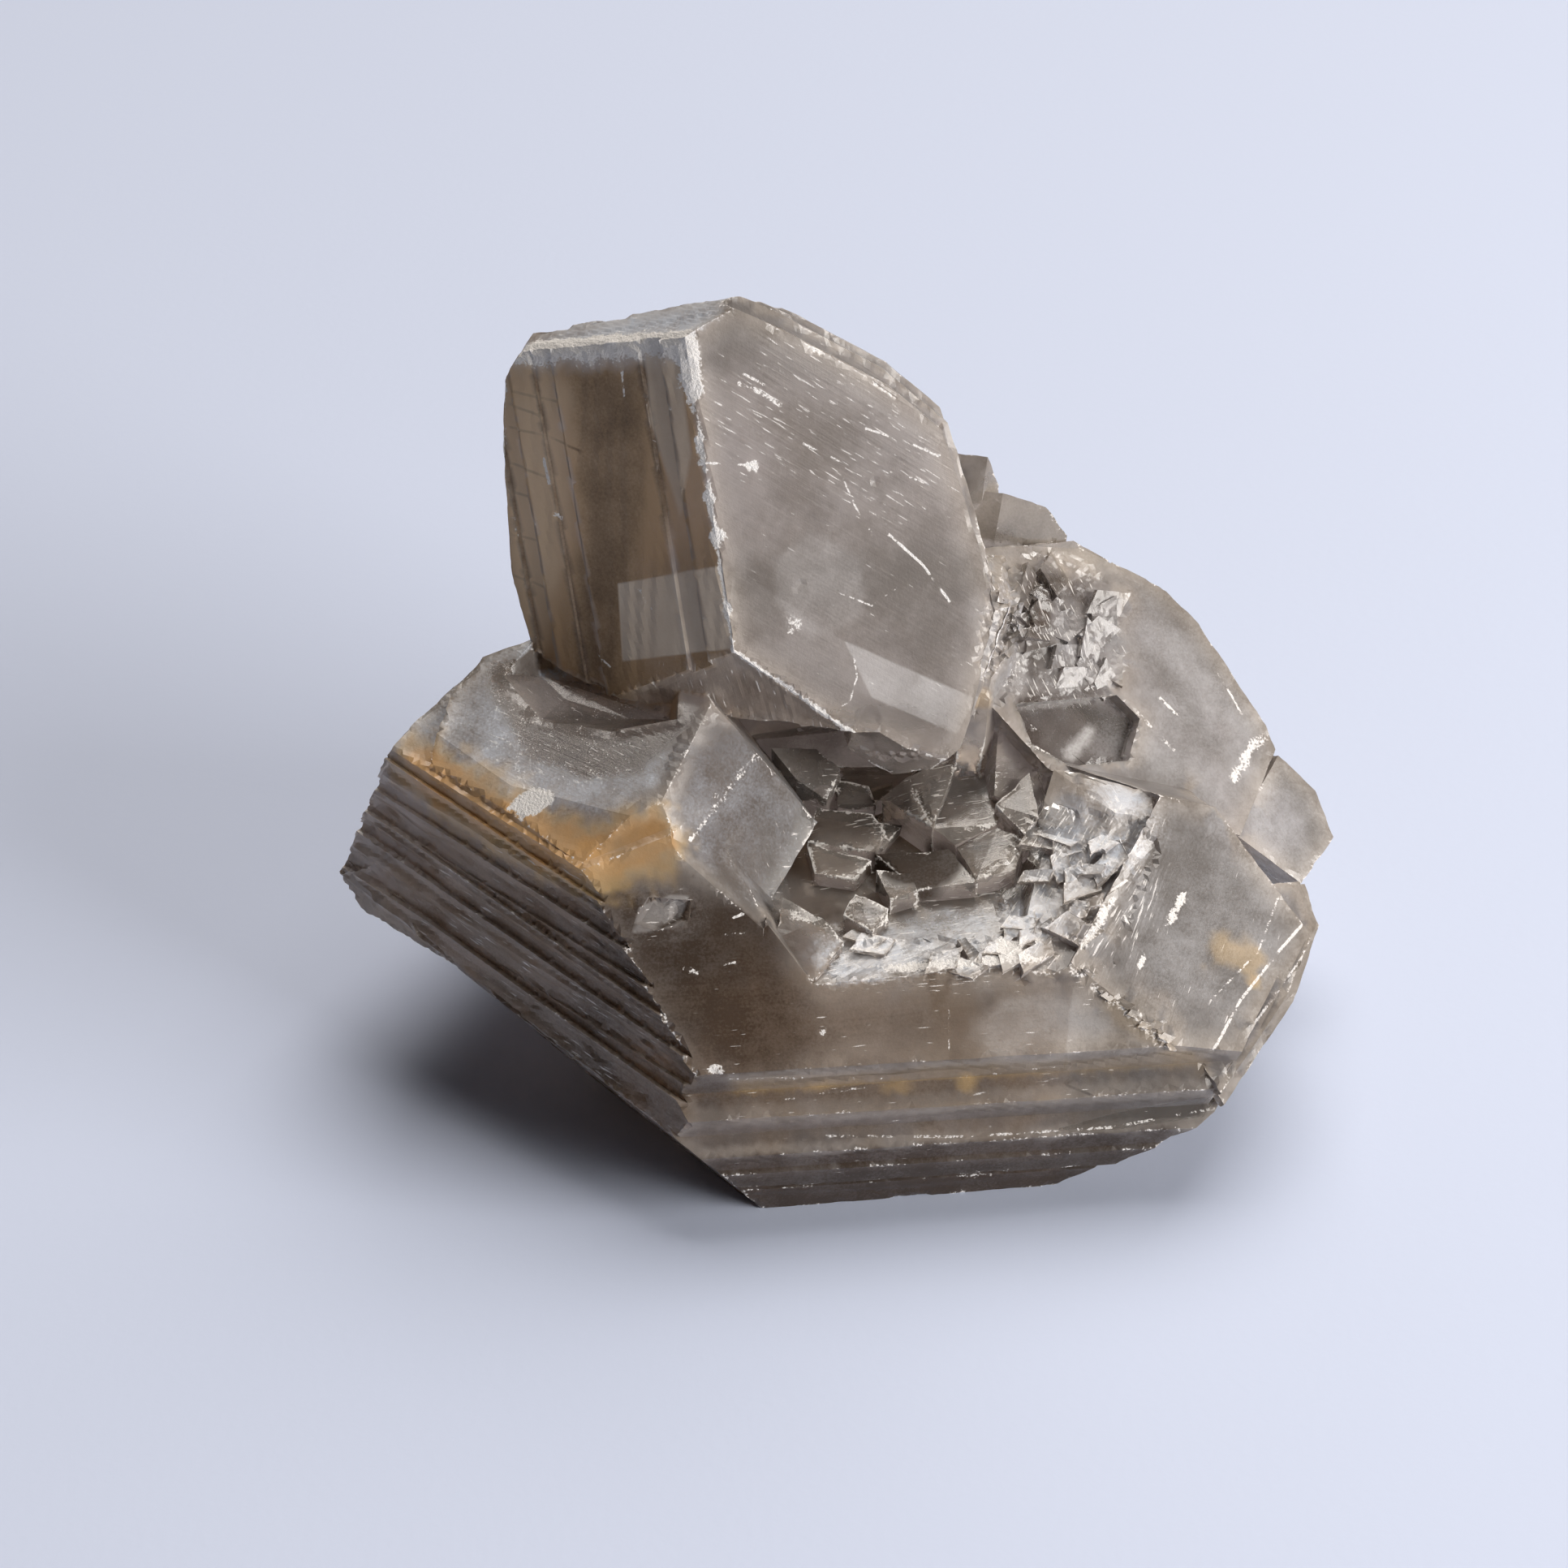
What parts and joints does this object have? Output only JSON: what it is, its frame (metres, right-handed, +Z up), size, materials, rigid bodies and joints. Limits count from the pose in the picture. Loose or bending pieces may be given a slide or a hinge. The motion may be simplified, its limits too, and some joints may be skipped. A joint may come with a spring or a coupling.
{
  "type": "gypsum crystal cluster",
  "caption": "Intergrown tabular gypsum crystals: a broad lozenge with a broken hollow, a thick crystal standing on it and lesser ones leaning out behind, on a flat resting face.",
  "frame": {"origin": "on the resting plane, under the middle of the bounding box", "axes": "+Z up, +X along the cluster's longest extent towards its small right tip, -Y towards its broad front face"},
  "size_m": [0.1034, 0.0682, 0.0797],
  "materials": {
    "gypsum": "vitreous to pearly, smoky and translucent"
  },
  "bodies": {
    "root": {"gypsum_cluster": "gypsum"}
  },
  "joints": []
}
